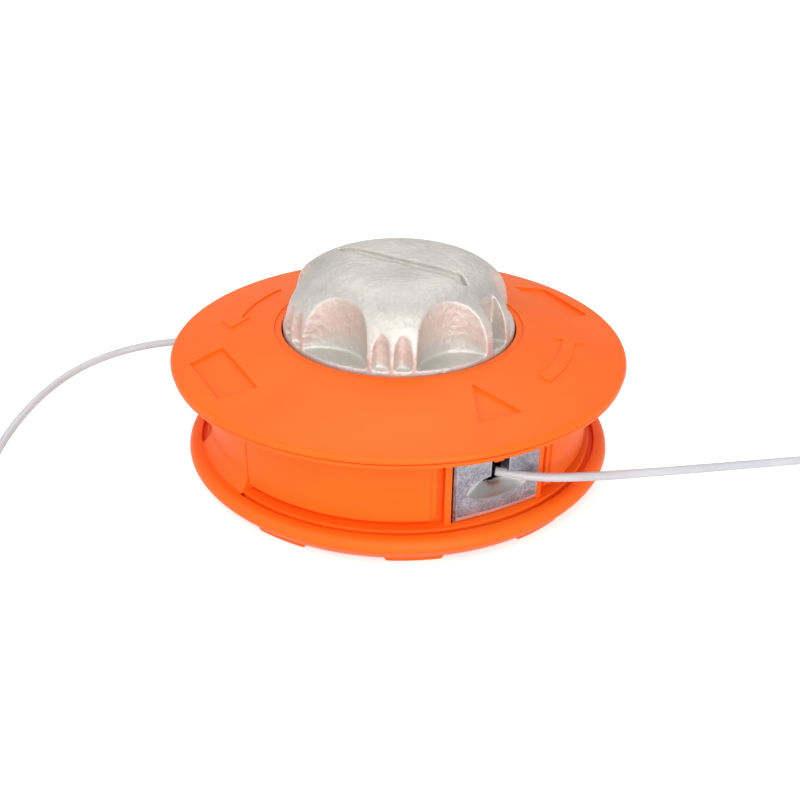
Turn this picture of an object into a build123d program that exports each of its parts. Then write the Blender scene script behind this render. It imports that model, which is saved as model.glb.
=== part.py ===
from build123d import *
from math import cos, pi, radians, sin, tan
import os

os.makedirs("parts", exist_ok=True)

# Bump-feed line trimmer head, standing on its housing with the bump knob up.
# Origin at the bottom centre, +Z up along the drive axis, the eyelets on the X axis. Millimetres.

# Cover: shallow cone with a knob hole, a two-band rim and four skirt panels
rim_r = 65.25
rim_z = 34.9
rim_band_t = 1.6
rim_seam_w = 0.45
rim_seam_depth = 1.0
rim_ring_t = 1.2
rim_ring_set = 0.4
rim_ring_w = 2.2
rim_round = 1.2
cone_rise = 6.1
cover_t = 2.2
knob_gap = 0.45
hole_lip_t = 1.9
hole_lip_h = 1.2
hole_step_w = 1.9
hole_step = 0.5
wall_t = 2.2
panel_clear = 1.95
panel_gap = 0.35
panel_edge_span = 1.7
panel_edge_step = 0.5
hook_gap = 0.25
hook_t = 1.4
hook_h = 1.1

# Marks sunk in the cover: a triangle over each eyelet and a pad over each latch
mark_depth = 0.9
tri_in = 6.7
tri_l = 14.1
tri_half_w = 6.3
pad_set = 6.3
pad_l = 10.2
pad_in_half = 13.6
pad_out_half = 11.5

# Housing: base flange with foot tabs, floor, drive boss, eyelet posts and two latch walls
foot_h = 1.1
foot_count = 10
foot_first = 12.1
foot_half_span = 7.9
foot_depth = 3.6
foot_slope = 0.9
flange_w = 6.7
flange_h = 7.15
flange_draft = 3.6
flange_draft_h = 3.7
flange_lip = 2.6
flange_turn = 1.8
flange_wall = 2.6
floor_t = 2.4
rib_t = 1.6
groove_set = 1.5
groove_w = 1.4
groove_depth = 1.7
boss_wall = 2.2
boss_gap = 3.0
post_depth = 4.6
post_half_span = 0.95
post_gap = 0.4
post_recess = 2.0
post_leg_span = 6.0
kerb_gap = 0.3
kerb_t = 1.4
kerb_h = 4.0
latch_half_span = 15.2
latch_base = 2.4
latch_barb = 1.1
latch_barb_h = 1.2
seat_gap = 0.15

# Eyelets: cast plates with a flared oval mouth and a slot open to the top
eyelet_t = 4.0
eyelet_half_span = 13.4
eyelet_top_gap = 2.8
eyelet_foot_gap = 0.15
mouth_up = 9.15
mouth_half_w = 10.2
mouth_half_h = 3.3
throat_half_w = 3.0
throat_half_h = 2.1
throat_up = 1.7
mouth_round = 0.6
plate_r = 110.0
plate_edge = 0.8
plate_foot_edge = 1.2
slot_w = 5.4
slot_tab_gap = 0.3
slot_tab_taper = 1.0
slot_tab_up = 3.4

# Spool with two line chambers, and the two levels of stops that let it turn in steps
travel = 5.5
turn_gap = 0.3
spool_gap = 1.5
spool_flange_t = 1.6
core_t = 2.8
sleeve_t = 2.3
spool_plate_t = 3.0
lug_count = 4
lug_half_span = 7.0
lug_gap = 0.45
lug_w = 6.5
lug_h = 2.2
lug_turn_gap = 0.6
stop_h = 3.0
stop_gap = 0.4
anchor_w = 3.0
anchor_depth = 4.0
winding_depth = 16.0
winding_set = 6.0
winding_gap = 0.15

# Bump knob: cast dome with six finger scallops, paired flutes and a diametral groove
knob_r = 33.2
knob_wall = 2.7
dome_h = 18.2
crown_flat_r = 12.0
crown_r = 20.5
crown_drop = 0.75
shoulder_r = 28.0
shoulder_drop = 4.7
scallop_up = 0.6
scallop_r = 12.2
scallop_depth = 7.8
scallop_turn = -1.2
finger_count = 6
flute_r = 2.35
flute_depth = 2.2
flute_half_pitch = 5.1
pointer_w = 7.2
pointer_depth = 5.4
knob_groove_w = 4.4
knob_groove_depth = 2.0
knob_groove_r = 23.6
knob_groove_slant = 5.2
knob_hollow_wall = 3.2
knob_crown_t = 5.0
knob_boss_wall = 1.5

# Fasteners, drive insert and return spring
screw_count = 3
screw_r = 2.0
screw_l = 12.0
screw_head_r = 3.4
screw_head_h = 2.2
screw_room = 1.385
fit_gap = 0.1
drive_r = 5.0
drive_af = 17.0
drive_l = 18.0
drive_lip = 1.2
shaft_gap = 0.6
shaft_room = 6.0
washer_gap = 0.4
washer_w = 1.8
washer_t = 1.0
wire_r = 0.7
spring_turns = 5

# Cutting line
line_d = 2.4

# Radii that follow from the sizes above
boss_r = drive_af / 2 / cos(radians(30)) + boss_wall
sleeve_in_r = boss_r + turn_gap
sleeve_out_r = sleeve_in_r + sleeve_t
washer_in_r = sleeve_out_r + washer_gap
washer_out_r = washer_in_r + washer_w
screw_circle = washer_out_r + screw_head_r + 2 * fit_gap
core_r = screw_circle + screw_head_r + screw_room + core_t
winding_r = core_r + winding_depth
spool_r = winding_r + winding_set
eyelet_in_r = spool_r + spool_gap
wall_r = eyelet_in_r + eyelet_t
wall_in_r = wall_r - wall_t
kerb_out_r = wall_in_r - kerb_gap
kerb_in_r = kerb_out_r - kerb_t
flange_r = wall_r + flange_w
flange_foot_r = flange_r - flange_draft
flange_in_r = flange_foot_r - flange_wall
groove_r = wall_r + groove_set
hole_r = knob_r + knob_gap
lug_in_r = hole_r + hole_lip_t + lug_gap
lug_out_r = lug_in_r + lug_w
pad_out_r = rim_r - pad_set
scallop_in_r = knob_r - scallop_depth
knob_hollow_r = scallop_in_r - knob_hollow_wall
reach = 2 * rim_r

# Angles about the axis, counted from the eyelets
post_angle = eyelet_half_span + post_gap + post_half_span
panel_start = post_angle + post_half_span + post_recess
panel_end = 90 - latch_half_span - panel_gap
lug_turn = 2 * lug_half_span + lug_turn_gap
screw_first = 180 / screw_count


def cone_z(r):
    return rim_z + (rim_r - r) * cone_rise / (rim_r - hole_r)


def under_z(r):
    return cone_z(r) - cover_t


def radial_plane(angle):
    a = radians(angle)
    return Plane(origin=(0, 0, 0), x_dir=(cos(a), sin(a), 0), z_dir=(sin(a), -cos(a), 0))


def wedge(half_span):
    side = reach * tan(radians(half_span))
    return (0, 0), (reach, -side), (reach, side)


# Levels from the surface that the head stands on
floor_z = foot_h + flange_h
panel_z = floor_z + panel_clear
drive_z = foot_h + drive_lip
eyelet_z = floor_z + eyelet_foot_gap
eyelet_top_z = under_z(wall_r) - eyelet_top_gap
mouth_z = floor_z + mouth_up
slot_tab_z = mouth_z + mouth_half_h + slot_tab_up
barb_z = under_z(wall_r) - seat_gap - latch_barb_h
lower_lug_h = stop_h + stop_gap / 2
spool_z = floor_z + stop_gap / 2 + lower_lug_h + travel
spool_top_z = under_z(lug_out_r) - stop_gap - lug_h
chamber_h = (spool_top_z - spool_z - 3 * spool_flange_t) / 2
mid_flange_z = spool_z + spool_flange_t + chamber_h
boss_top_z = spool_top_z - boss_gap
plate_z = spool_top_z - spool_plate_t
washer_z = plate_z - washer_t
scallop_z = cone_z(hole_r) + scallop_up
knob_top_z = scallop_z + dome_h
hollow_top_z = knob_top_z - knob_crown_t

with BuildPart() as housing:
    with BuildSketch(Plane.XZ) as section:
        with BuildLine():
            Polyline(
                (0, foot_h),
                (boss_r, foot_h),
                (boss_r, floor_z - floor_t),
                (flange_in_r, floor_z - floor_t),
                (flange_in_r, foot_h),
                (flange_foot_r, foot_h),
                (flange_r, foot_h + flange_draft_h),
                (flange_r, floor_z),
                (boss_r, floor_z),
                (boss_r, boss_top_z),
                (0, boss_top_z),
                close=True,
            )
        make_face()
        lip_corner = section.vertices().group_by(Axis.X)[-1].sort_by(Axis.Y)
        fillet(lip_corner[-1:], flange_lip)
        fillet(lip_corner[:1], flange_turn)
    revolve(axis=Axis.Z)
    # foot tabs under the flange
    with BuildSketch():
        Circle(flange_foot_r)
        Circle(flange_foot_r - foot_depth, mode=Mode.SUBTRACT)
        with PolarLocations(0, foot_count, start_angle=foot_first):
            Polygon(*wedge(foot_half_span), align=None, mode=Mode.INTERSECT)
    extrude(amount=foot_h)
    ends = housing.edges().filter_by(GeomType.LINE).group_by(Axis.Z)[0]
    chamfer(ends, foot_slope)
    # stiffening ribs on the underside, between the boss and the flange
    with BuildSketch(Plane.XY.offset(foot_h)):
        with PolarLocations(0, foot_count, start_angle=foot_first):
            Rectangle(flange_in_r + flange_wall / 2, rib_t, align=(Align.MIN, Align.CENTER))
        Circle(boss_r - boss_wall / 2, mode=Mode.SUBTRACT)
    extrude(amount=flange_h - floor_t)
    # groove round the flange, left plain at the latch walls
    with BuildSketch(Plane.XY.offset(floor_z)):
        Circle(groove_r + groove_w)
        Circle(groove_r, mode=Mode.SUBTRACT)
        with PolarLocations(0, 2, start_angle=90):
            Polygon(*wedge(latch_half_span), align=None, mode=Mode.SUBTRACT)
    extrude(amount=-groove_depth, mode=Mode.SUBTRACT)
    # posts on both sides of each eyelet
    for side in (post_angle, -post_angle, 180 + post_angle, 180 - post_angle):
        with BuildSketch(radial_plane(side - post_half_span)):
            with BuildLine():
                Polyline(
                    (wall_r - post_depth, floor_z),
                    (wall_r, floor_z),
                    (wall_r, under_z(wall_r) - seat_gap),
                    (wall_r - post_depth, under_z(wall_r) - seat_gap),
                    close=True,
                )
            make_face()
        revolve(axis=Axis.Z, revolution_arc=2 * post_half_span)
    # leg behind each post and a low kerb beyond it, inside the skirt panels
    for side in (0, 180):
        for start, stop, top_z in (
            (post_angle, post_angle + post_leg_span, under_z(kerb_out_r) - seat_gap),
            (post_angle + post_leg_span, panel_end, floor_z + kerb_h),
        ):
            for first in (side + start, side - stop):
                with BuildSketch(radial_plane(first)):
                    with BuildLine():
                        Polyline(
                            (kerb_in_r, floor_z),
                            (kerb_out_r, floor_z),
                            (kerb_out_r, top_z),
                            (kerb_in_r, top_z),
                            close=True,
                        )
                    make_face()
                revolve(axis=Axis.Z, revolution_arc=stop - start)
    # latch walls with a sloped root and a barb at the top
    for side in (90, -90):
        with BuildSketch(radial_plane(side - latch_half_span)):
            with BuildLine():
                Polyline(
                    (wall_in_r, floor_z),
                    (wall_r + latch_base, floor_z),
                    (wall_r, floor_z + latch_base),
                    (wall_r, barb_z),
                    (wall_r + latch_barb, barb_z),
                    (wall_r, barb_z + latch_barb_h),
                    (wall_in_r, barb_z + latch_barb_h),
                    close=True,
                )
            make_face()
        revolve(axis=Axis.Z, revolution_arc=2 * latch_half_span)
    # stops that catch the spool when the knob is bumped
    with BuildSketch(Plane.XY.offset(floor_z)):
        Circle(lug_out_r)
        Circle(lug_in_r, mode=Mode.SUBTRACT)
        with PolarLocations(0, lug_count, start_angle=180 / lug_count):
            Polygon(*wedge(lug_half_span), align=None, mode=Mode.INTERSECT)
    extrude(amount=stop_h)
    # pocket for the drive insert, shaft entry below it and room for the shaft's end above
    with BuildSketch(Plane.XY.offset(drive_z)):
        RegularPolygon(drive_af / 2, 6, major_radius=False)
    extrude(amount=drive_l, mode=Mode.SUBTRACT)
    with BuildSketch(Plane.XY.offset(foot_h)):
        Circle(drive_r + shaft_gap)
    extrude(amount=drive_lip + drive_l + shaft_room, mode=Mode.SUBTRACT)
housing.part.label = "housing"
export_step(housing.part, "parts/housing.step")

with BuildPart() as drive_insert:
    with BuildSketch(Plane.XY.offset(drive_z)):
        RegularPolygon(drive_af / 2, 6, major_radius=False)
        Circle(drive_r, mode=Mode.SUBTRACT)
    extrude(amount=drive_l)
drive_insert.part.label = "drive_insert"
export_step(drive_insert.part, "parts/drive_insert.step")

with BuildPart() as cover:
    with BuildSketch(Plane.XZ) as section:
        with BuildLine():
            band_z = rim_z - rim_band_t
            ring_z = band_z - rim_seam_w
            step_r = hole_r + hole_step_w
            lip_r = hole_r + hole_lip_t
            ring_r = rim_r - rim_ring_set
            Polyline(
                (hole_r, cone_z(hole_r) - hole_step),
                (step_r, cone_z(step_r) - hole_step),
                (step_r, cone_z(step_r)),
                (rim_r, rim_z),
                (rim_r, band_z),
                (rim_r - rim_seam_depth, band_z),
                (rim_r - rim_seam_depth, ring_z),
                (ring_r, ring_z),
                (ring_r, ring_z - rim_ring_t),
                (ring_r - rim_ring_w, ring_z - rim_ring_t),
                (ring_r - rim_ring_w, under_z(ring_r - rim_ring_w)),
                (lip_r, under_z(lip_r)),
                (lip_r, under_z(lip_r) - hole_lip_h),
                (hole_r, under_z(lip_r) - hole_lip_h),
                close=True,
            )
        make_face()
        fillet(section.vertices().group_by(Axis.X)[-1].sort_by(Axis.Y)[-1:], rim_round)
    revolve(axis=Axis.Z)
    # skirt panels between the eyelets and the latch walls, each with a stepped edge by the eyelet
    for start, flip in ((0, 1), (180, -1), (180, 1), (360, -1)):
        for near, far, out_r in (
            (panel_start, panel_start + panel_edge_span, wall_r - panel_edge_step),
            (panel_start + panel_edge_span, panel_end, wall_r),
        ):
            with BuildSketch(radial_plane(start + near if flip > 0 else start - far)):
                with BuildLine():
                    Polyline(
                        (wall_in_r, panel_z),
                        (out_r, panel_z),
                        (out_r, under_z(out_r) + cover_t / 2),
                        (wall_in_r, under_z(wall_in_r) + cover_t / 2),
                        close=True,
                    )
                make_face()
            revolve(axis=Axis.Z, revolution_arc=far - near)
    # hooks that hold the latch barbs
    for side in (90, -90):
        with BuildSketch(radial_plane(side - latch_half_span)):
            with BuildLine():
                barb_r = wall_r + latch_barb + hook_gap
                ledge_z = barb_z - hook_gap
                Polyline(
                    (barb_r, under_z(barb_r) + cover_t / 2),
                    (barb_r, ledge_z),
                    (wall_r + hook_gap, ledge_z),
                    (wall_r + hook_gap, ledge_z - hook_h),
                    (barb_r + hook_t, ledge_z - hook_h),
                    (barb_r + hook_t, under_z(barb_r + hook_t) + cover_t / 2),
                    close=True,
                )
            make_face()
        revolve(axis=Axis.Z, revolution_arc=2 * latch_half_span)
    # tongues that close the eyelets' slots
    tab_in_r = eyelet_in_r + eyelet_t / 3
    tab_out_r = wall_r - panel_edge_step
    tab_top_z = under_z(tab_in_r) + cover_t / 2
    tab_half_w = slot_w / 2 - slot_tab_gap
    for side in (1, -1):
        with BuildSketch(Plane((side * tab_in_r, 0, 0), x_dir=(0, side, 0), z_dir=(side, 0, 0))):
            Polygon(
                (-tab_half_w, tab_top_z),
                (-tab_half_w + slot_tab_taper, slot_tab_z),
                (tab_half_w - slot_tab_taper, slot_tab_z),
                (tab_half_w, tab_top_z),
                align=None,
            )
        extrude(amount=tab_out_r - tab_in_r)
    # stops that hold the spool at rest
    for index in range(lug_count):
        with BuildSketch(radial_plane(index * 360 / lug_count - lug_half_span)):
            with BuildLine():
                Polyline(
                    (lug_in_r, spool_top_z + stop_gap),
                    (lug_out_r, spool_top_z + stop_gap),
                    (lug_out_r, under_z(lug_out_r) + cover_t / 2),
                    (lug_in_r, under_z(lug_in_r) + cover_t / 2),
                    close=True,
                )
            make_face()
        revolve(axis=Axis.Z, revolution_arc=2 * lug_half_span)
    # the marks are cut to an even depth below the cone
    with BuildSketch(Plane.XY.offset(rim_z - cover_t)):
        for side in (0, 180):
            with Locations(Rotation(0, 0, side)):
                Polygon(
                    (hole_r + tri_in, 0),
                    (hole_r + tri_in + tri_l, -tri_half_w),
                    (hole_r + tri_in + tri_l, tri_half_w),
                    align=None,
                )
        for side in (90, 270):
            with Locations(Rotation(0, 0, side)):
                Polygon(
                    (pad_out_r - pad_l, -pad_in_half),
                    (pad_out_r, -pad_out_half),
                    (pad_out_r, pad_out_half),
                    (pad_out_r - pad_l, pad_in_half),
                    align=None,
                )
    marks = extrude(amount=reach, mode=Mode.PRIVATE)
    with BuildSketch(Plane.XZ):
        with BuildLine():
            Polyline(
                (0, cone_z(0) - mark_depth),
                (rim_r, rim_z - mark_depth),
                (rim_r, cone_z(0) + cover_t),
                (0, cone_z(0) + cover_t),
                close=True,
            )
        make_face()
    above = revolve(axis=Axis.Z, mode=Mode.PRIVATE)
    add(marks & above, mode=Mode.SUBTRACT)
cover.part.label = "cover"
export_step(cover.part, "parts/cover.step")

with BuildPart() as eyelet_front:
    with BuildSketch(Plane.XY.offset(eyelet_z)):
        with Locations((wall_r - plate_r, 0)):
            Circle(plate_r)
        Circle(eyelet_in_r, mode=Mode.SUBTRACT)
        Polygon(*wedge(eyelet_half_span), align=None, mode=Mode.INTERSECT)
    extrude(amount=eyelet_top_z - eyelet_z)
    face = eyelet_front.faces().sort_by(Axis.X)[-1]
    chamfer(face.edges().sort_by(Axis.Z)[:1], plate_foot_edge)
    face = eyelet_front.faces().sort_by(Axis.X)[-1]
    chamfer(face.edges().sort_by(Axis.Z)[1:-1], plate_edge)
    with BuildSketch(Plane.YZ.offset(eyelet_in_r * cos(radians(eyelet_half_span)))):
        with Locations((0, mouth_z + throat_up)):
            Ellipse(throat_half_w, throat_half_h)
    with BuildSketch(Plane.YZ.offset(wall_r)):
        with Locations((0, mouth_z)):
            Ellipse(mouth_half_w, mouth_half_h)
    loft(mode=Mode.SUBTRACT)
    with BuildSketch(Plane.YZ.offset(eyelet_in_r - eyelet_t)):
        with Locations((0, mouth_z)):
            Rectangle(slot_w, eyelet_top_z, align=(Align.CENTER, Align.MIN))
    extrude(amount=3 * eyelet_t, mode=Mode.SUBTRACT)
    face = eyelet_front.faces().sort_by(Axis.X)[-1]
    fillet(face.edges().filter_by(GeomType.BSPLINE), mouth_round)
eyelet_front.part.label = "eyelet_front"
export_step(eyelet_front.part, "parts/eyelet_front.step")

with BuildPart() as eyelet_back:
    add(eyelet_front.part, rotation=(0, 0, 180))
eyelet_back.part.label = "eyelet_back"
export_step(eyelet_back.part, "parts/eyelet_back.step")

with BuildPart() as spool:
    with BuildSketch(Plane.XZ):
        with BuildLine():
            Polyline(
                (sleeve_in_r, spool_z),
                (sleeve_out_r, spool_z),
                (sleeve_out_r, plate_z),
                (core_r - core_t, plate_z),
                (core_r - core_t, spool_z),
                (spool_r, spool_z),
                (spool_r, spool_z + spool_flange_t),
                (core_r, spool_z + spool_flange_t),
                (core_r, mid_flange_z),
                (spool_r, mid_flange_z),
                (spool_r, mid_flange_z + spool_flange_t),
                (core_r, mid_flange_z + spool_flange_t),
                (core_r, spool_top_z - spool_flange_t),
                (spool_r, spool_top_z - spool_flange_t),
                (spool_r, spool_top_z),
                (sleeve_in_r, spool_top_z),
                close=True,
            )
        make_face()
    revolve(axis=Axis.Z)
    # ring that centres the knob
    with BuildSketch(Plane.XY.offset(spool_top_z)):
        Circle(knob_r - knob_wall - fit_gap)
        Circle(core_r - core_t, mode=Mode.SUBTRACT)
    extrude(amount=lug_h)
    # lugs that rest against the cover's stops
    with BuildSketch(Plane.XY.offset(spool_top_z)):
        Circle(lug_out_r)
        Circle(lug_in_r, mode=Mode.SUBTRACT)
        with PolarLocations(0, lug_count, start_angle=lug_turn):
            Polygon(*wedge(lug_half_span), align=None, mode=Mode.INTERSECT)
    extrude(amount=lug_h)
    # lugs that stand midway between the housing's stops, which they meet when bumped
    with BuildSketch(Plane.XY.offset(spool_z)):
        Circle(lug_out_r)
        Circle(lug_in_r, mode=Mode.SUBTRACT)
        with PolarLocations(0, lug_count):
            Polygon(*wedge(lug_half_span), align=None, mode=Mode.INTERSECT)
    extrude(amount=-lower_lug_h)
    # notches that anchor the line in the middle flange
    with BuildSketch(Plane.XY.offset(mid_flange_z)):
        with PolarLocations(spool_r, 2):
            Rectangle(2 * anchor_depth, anchor_w)
    extrude(amount=spool_flange_t, mode=Mode.SUBTRACT)
    with BuildSketch(Plane.XY.offset(plate_z)):
        with PolarLocations(screw_circle, screw_count, start_angle=screw_first):
            Circle(screw_r + fit_gap)
    extrude(amount=spool_plate_t, mode=Mode.SUBTRACT)
spool.part.label = "spool"
export_step(spool.part, "parts/spool.step")

with BuildPart() as winding_lower:
    with BuildSketch(Plane.XY.offset(spool_z + spool_flange_t + winding_gap)):
        Circle(winding_r)
        Circle(core_r + winding_gap, mode=Mode.SUBTRACT)
    extrude(amount=chamber_h - 2 * winding_gap)
    rims = winding_lower.edges().filter_by(GeomType.CIRCLE)
    fillet(rims.group_by(SortBy.RADIUS)[-1], line_d / 2)
winding_lower.part.label = "winding_lower"
export_step(winding_lower.part, "parts/winding_lower.step")

with BuildPart() as winding_upper:
    with Locations((0, 0, chamber_h + spool_flange_t)):
        add(winding_lower.part)
winding_upper.part.label = "winding_upper"
export_step(winding_upper.part, "parts/winding_upper.step")

crown = [
    (crown_flat_r, knob_top_z),
    (crown_r, knob_top_z - crown_drop),
    (shoulder_r, knob_top_z - shoulder_drop),
    (knob_r, scallop_z),
]

# the groove's ends are cut at a slant and its floor runs an even depth below the dome
with BuildPart() as groove_cut:
    with BuildSketch(Plane.XY.offset(scallop_z)):
        Polygon(
            (knob_groove_r, -knob_groove_w / 2),
            (knob_groove_r - knob_groove_slant, knob_groove_w / 2),
            (-knob_groove_r, knob_groove_w / 2),
            (-knob_groove_r + knob_groove_slant, -knob_groove_w / 2),
            rotation=180 / finger_count + scallop_turn,
        )
    extrude(amount=knob_top_z - scallop_z)
    with BuildSketch(Plane.XZ):
        with BuildLine():
            edge = Spline(
                *[(r, z - knob_groove_depth) for r, z in crown], tangents=[(1, 0), (0, -1)]
            )
            Polyline(edge @ 1, (0, (edge @ 1).Y), (0, (edge @ 0).Y), edge @ 0)
        make_face()
    revolve(axis=Axis.Z, mode=Mode.SUBTRACT)

with BuildPart() as bump_knob:
    with BuildSketch(Plane.XZ):
        with BuildLine():
            edge = Spline(*crown, tangents=[(1, 0), (0, -1)])
            Polyline(
                edge @ 1, (knob_r, spool_top_z), (0, spool_top_z), (0, knob_top_z), edge @ 0
            )
        make_face()
    revolve(axis=Axis.Z)
    with BuildSketch(Plane.XZ):
        with BuildLine():
            Polyline(
                (0, spool_top_z),
                (knob_r - knob_wall, spool_top_z),
                (knob_r - knob_wall, scallop_z - knob_wall),
                (knob_hollow_r, scallop_z - knob_wall),
                (knob_hollow_r, hollow_top_z - shoulder_drop),
                (knob_hollow_r - shoulder_drop, hollow_top_z),
                (0, hollow_top_z),
                close=True,
            )
        make_face()
    revolve(axis=Axis.Z, mode=Mode.SUBTRACT)
    # bosses for the screws that come up through the spool
    with BuildSketch(Plane.XY.offset(spool_top_z)):
        with PolarLocations(screw_circle, screw_count, start_angle=screw_first):
            Circle(screw_r + fit_gap + knob_boss_wall)
    extrude(amount=hollow_top_z - spool_top_z)
    with BuildSketch(Plane.XY.offset(spool_top_z)):
        with PolarLocations(screw_circle, screw_count, start_angle=screw_first):
            Circle(screw_r + fit_gap)
    extrude(amount=screw_l - spool_plate_t + fit_gap, mode=Mode.SUBTRACT)
    # finger scallops with flat floors
    cut_h = knob_top_z - scallop_z
    with BuildSketch(Plane.XY.offset(scallop_z)):
        with PolarLocations(scallop_in_r + scallop_r, finger_count, start_angle=scallop_turn):
            Circle(scallop_r)
    extrude(amount=cut_h, mode=Mode.SUBTRACT)
    # flutes in pairs between the scallops, apart from the two pointer slots at the groove's ends
    pitch = 360 / finger_count
    for index in range(finger_count):
        middle = scallop_turn + (index + 0.5) * pitch
        with BuildSketch(Plane.XY.offset(scallop_z)):
            if index % (finger_count // 2) == 0:
                with PolarLocations(knob_r - pointer_depth, 1, start_angle=middle):
                    Rectangle(knob_r, pointer_w, align=(Align.MIN, Align.CENTER))
            else:
                with PolarLocations(
                    knob_r - flute_depth + flute_r,
                    2,
                    start_angle=middle - flute_half_pitch,
                    angular_range=2 * flute_half_pitch,
                    endpoint=True,
                ):
                    Circle(flute_r)
        extrude(amount=cut_h, mode=Mode.SUBTRACT)
    add(groove_cut.part, mode=Mode.SUBTRACT)
bump_knob.part.label = "bump_knob"
export_step(bump_knob.part, "parts/bump_knob.step")

with BuildPart() as knob_screw:
    with BuildSketch(Plane.XY.offset(plate_z)):
        with Locations((screw_circle, 0)):
            Circle(screw_r)
    extrude(amount=screw_l)
    with BuildSketch(Plane.XY.offset(plate_z)):
        with Locations((screw_circle, 0)):
            Circle(screw_head_r)
    extrude(amount=-screw_head_h)
for index in range(screw_count):
    with BuildPart() as placed_screw:
        add(knob_screw.part, rotation=(0, 0, screw_first + index * 360 / screw_count))
    placed_screw.part.label = f"knob_screw_{index + 1}"
    export_step(placed_screw.part, f"parts/knob_screw_{index + 1}.step")

with BuildPart() as spring_washer:
    with BuildSketch(Plane.XY.offset(washer_z)):
        Circle(washer_out_r)
        Circle(washer_in_r, mode=Mode.SUBTRACT)
    extrude(amount=washer_t)
spring_washer.part.label = "spring_washer"
export_step(spring_washer.part, "parts/spring_washer.step")

with BuildPart() as return_spring:
    spring_l = washer_z - floor_z - 2 * wire_r
    with BuildLine(Plane.XY.offset(floor_z + wire_r)) as coil:
        Helix(spring_l / spring_turns, spring_l, (washer_in_r + washer_out_r) / 2)
    with BuildSketch(Plane(coil.line @ 0, z_dir=coil.line % 0)):
        Circle(wire_r)
    sweep(is_frenet=True)
return_spring.part.label = "return_spring"
export_step(return_spring.part, "parts/return_spring.step")

# Free line ends: out of the eyelet mouths and down to the surface that the head stands on
routes = {
    "line_end_front": [
        (51.4, 1.2, 19.0),
        (54.5, 5.5, 18.3),
        (57.9, 12.1, 17.3),
        (62.0, 25.0, 16.2),
        (66.2, 44.0, 14.5),
        (69.3, 66.0, 11.6),
        (72.3, 91.0, 8.0),
        (74.8, 112.0, 5.2),
        (77.0, 129.0, 3.2),
    ],
    "line_end_back": [
        (-51.4, -1.2, 19.0),
        (-54.5, -5.5, 18.3),
        (-57.9, -12.1, 17.3),
        (-63.0, -26.0, 16.4),
        (-69.0, -43.5, 15.4),
        (-75.2, -59.5, 13.8),
        (-74.6, -76.0, 11.6),
        (-65.5, -91.0, 9.6),
        (-50.5, -104.5, 7.2),
        (-32.7, -114.8, 4.7),
        (-17.0, -121.0, 3.0),
    ],
}
for name, route in routes.items():
    points = [Vector(*point) for point in route]
    runs = [(b - a) for a, b in zip(points, points[1:])]
    radii = [
        0.45 * min(a.length, b.length) / tan(radians(a.get_angle(b) / 2))
        for a, b in zip(runs, runs[1:])
    ]
    with BuildPart() as line_end:
        with BuildLine() as path:
            FilletPolyline(*points, radius=radii)
        with BuildSketch(Plane(path.line @ 0, z_dir=path.line % 0)):
            Circle(line_d / 2)
        sweep()
    length = sum(edge.length for edge in path.edges())
    ideal = pi * (line_d / 2) ** 2 * length
    print(name, "length", round(length, 1), "radii", [round(r, 1) for r in radii])
    print(name, "volume", round(line_end.part.volume, 1), "section x length", round(ideal, 1))
    line_end.part.label = name
    export_step(line_end.part, f"parts/{name}.step")
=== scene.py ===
from math import cos, radians, sin, sqrt

import bmesh
import bpy
from mathutils import Matrix, Vector
from mathutils.geometry import interpolate_bezier


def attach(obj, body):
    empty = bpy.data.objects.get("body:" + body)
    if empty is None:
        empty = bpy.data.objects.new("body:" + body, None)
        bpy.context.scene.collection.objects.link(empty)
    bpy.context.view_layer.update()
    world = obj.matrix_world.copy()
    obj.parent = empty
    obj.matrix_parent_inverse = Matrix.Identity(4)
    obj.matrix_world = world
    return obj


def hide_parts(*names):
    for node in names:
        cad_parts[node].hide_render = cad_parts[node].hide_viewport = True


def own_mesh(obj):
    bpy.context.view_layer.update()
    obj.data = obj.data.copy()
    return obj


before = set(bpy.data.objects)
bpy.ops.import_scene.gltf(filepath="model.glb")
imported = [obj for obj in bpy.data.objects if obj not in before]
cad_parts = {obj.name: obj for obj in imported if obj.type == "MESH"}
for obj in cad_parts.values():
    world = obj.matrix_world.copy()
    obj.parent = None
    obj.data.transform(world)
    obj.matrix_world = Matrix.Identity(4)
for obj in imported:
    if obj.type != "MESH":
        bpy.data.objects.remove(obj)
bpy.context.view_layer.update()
mm = 0.001
print("frame loaded:", len(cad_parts), "nodes")

# camera, at the photograph's angle: degrees and millimetres
cameraView = {
    "azimuth": 61.8,
    "reach": 271.07,
    "height": 163.1,
    "pitch": 28.6,
    "yaw": 0.112,
    "roll": 0.533,
    "lens": 46.35,
    "sensor": 36.0,
    "nearest": 10.0,
}


def placeCamera(view):
    turn, pitch, yaw, roll = (radians(view[key]) for key in ("azimuth", "pitch", "yaw", "roll"))
    front = Vector((sin(turn), -cos(turn), 0))
    across = Vector((cos(turn), sin(turn), 0))
    ahead = cos(pitch) * (sin(yaw) * across - cos(yaw) * front) - Vector((0, 0, sin(pitch)))
    side = ahead.cross(Vector((0, 0, 1))).normalized()
    over = side.cross(ahead)
    right = cos(roll) * side + sin(roll) * over
    up = cos(roll) * over - sin(roll) * side
    data = bpy.data.cameras.new("camera")
    data.sensor_width = view["sensor"]
    data.lens = view["lens"]
    data.clip_start = view["nearest"] * mm
    camera = bpy.data.objects.new("camera", data)
    bpy.context.scene.collection.objects.link(camera)
    place = Matrix.Translation(front * view["reach"] * mm + Vector((0, 0, view["height"] * mm)))
    camera.matrix_world = place @ Matrix((right, up, -ahead)).transposed().to_4x4()
    bpy.context.scene.camera = camera


placeCamera(cameraView)

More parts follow.
